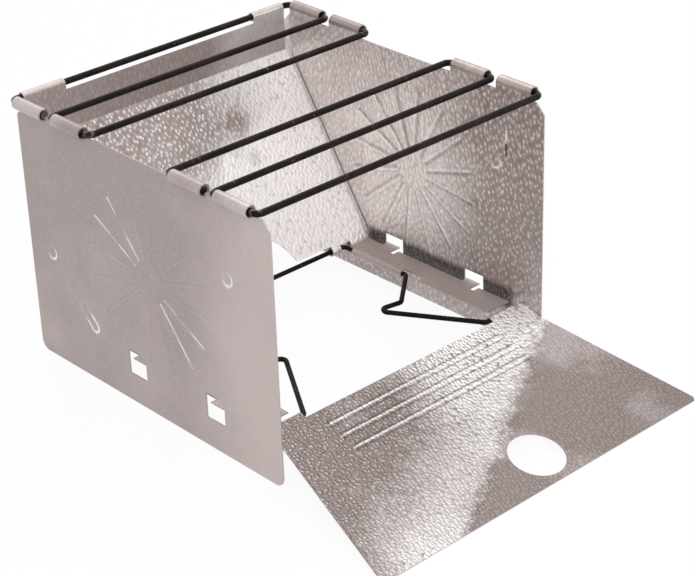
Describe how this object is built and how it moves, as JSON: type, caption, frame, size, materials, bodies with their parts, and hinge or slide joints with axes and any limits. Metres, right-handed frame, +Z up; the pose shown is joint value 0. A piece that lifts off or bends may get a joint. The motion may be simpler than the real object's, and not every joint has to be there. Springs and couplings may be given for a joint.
{
  "type": "folding camping stove",
  "caption": "Folding sheet-metal camping stove with a wire grate, swinging side panels, sloping rear panel, folding base with shelves and a drop-down front door.",
  "frame": {"origin": "on the floor under the middle of the stove's box, its door open", "axes": "+Z up, +X to the stove's right side as seen from its door, the door opens towards -Y"},
  "size_m": [0.2066, 0.2702, 0.1396],
  "materials": {
    "grate_wire": "satin",
    "base_wire": "satin",
    "outer_sheet": "satin",
    "inner_sheet": "satin",
    "shelf_sheet": "satin"
  },
  "bodies": {
    "grate": {"grate_rear": "grate_wire", "grate_front": "grate_wire"},
    "left_panel": {"left_side_panel": "outer_sheet"},
    "right_panel": {"right_side_panel": "outer_sheet"},
    "rear": {"rear_panel": "inner_sheet"},
    "base": {"base_wire": "base_wire", "left_spring_leg": "base_wire", "right_spring_leg": "base_wire"},
    "hinge_ends": {"left_hinge_end": "base_wire", "right_hinge_end": "base_wire"},
    "door": {"front_door": "inner_sheet"},
    "left_shelf_body": {"left_shelf": "shelf_sheet"},
    "right_shelf_body": {"right_shelf": "shelf_sheet"}
  },
  "joints": [
    {"name": "left_panel_swing", "type": "hinge", "parent": "grate", "child": "left_panel", "pos_m": [-0.088, 0.04104, 0.1365], "axis": [0, 1, 0], "range_deg": [0, 269.4]},
    {"name": "right_panel_swing", "type": "hinge", "parent": "grate", "child": "right_panel", "pos_m": [0.088, 0.04104, 0.1365], "axis": [0, -1, 0], "range_deg": [0, 238.5]},
    {"name": "rear_panel_swing", "type": "hinge", "parent": "grate", "child": "rear", "pos_m": [0, 0.13284, 0.1365], "axis": [-1, 0, 0], "range_deg": [0, 55.8]},
    {"name": "base_fold", "type": "hinge", "parent": "rear", "child": "base", "pos_m": [0, 0.07304, 0.022], "axis": [1, 0, 0], "range_deg": [0, 233.1]},
    {"name": "door_pull", "type": "slide", "parent": "base", "child": "hinge_ends", "axis": [0, -1, 0], "range_m": [0, 0.0162], "deforming": ["left_spring_leg", "right_spring_leg"]},
    {"name": "door_swing", "type": "hinge", "parent": "hinge_ends", "child": "door", "pos_m": [0, -0.03796, 0.022], "axis": [-1, 0, 0], "range_deg": [0, 103.6]},
    {"name": "left_shelf_swing", "type": "hinge", "parent": "base", "child": "left_shelf_body", "pos_m": [-0.0675, 0.04104, 0.022], "axis": [0, 1, 0], "range_deg": [0, 100]},
    {"name": "right_shelf_swing", "type": "hinge", "parent": "base", "child": "right_shelf_body", "pos_m": [0.0675, 0.04104, 0.022], "axis": [0, -1, 0], "range_deg": [0, 100]}
  ],
  "couplings": [
    {"joint": "right_panel_swing", "follows": "left_panel_swing", "ratio": 0.885},
    {"joint": "rear_panel_swing", "follows": "left_panel_swing", "ratio": 0.2068},
    {"joint": "base_fold", "follows": "left_panel_swing", "ratio": 0.865},
    {"joint": "door_pull", "follows": "door_swing", "m_per_rad": 0.008958}
  ]
}
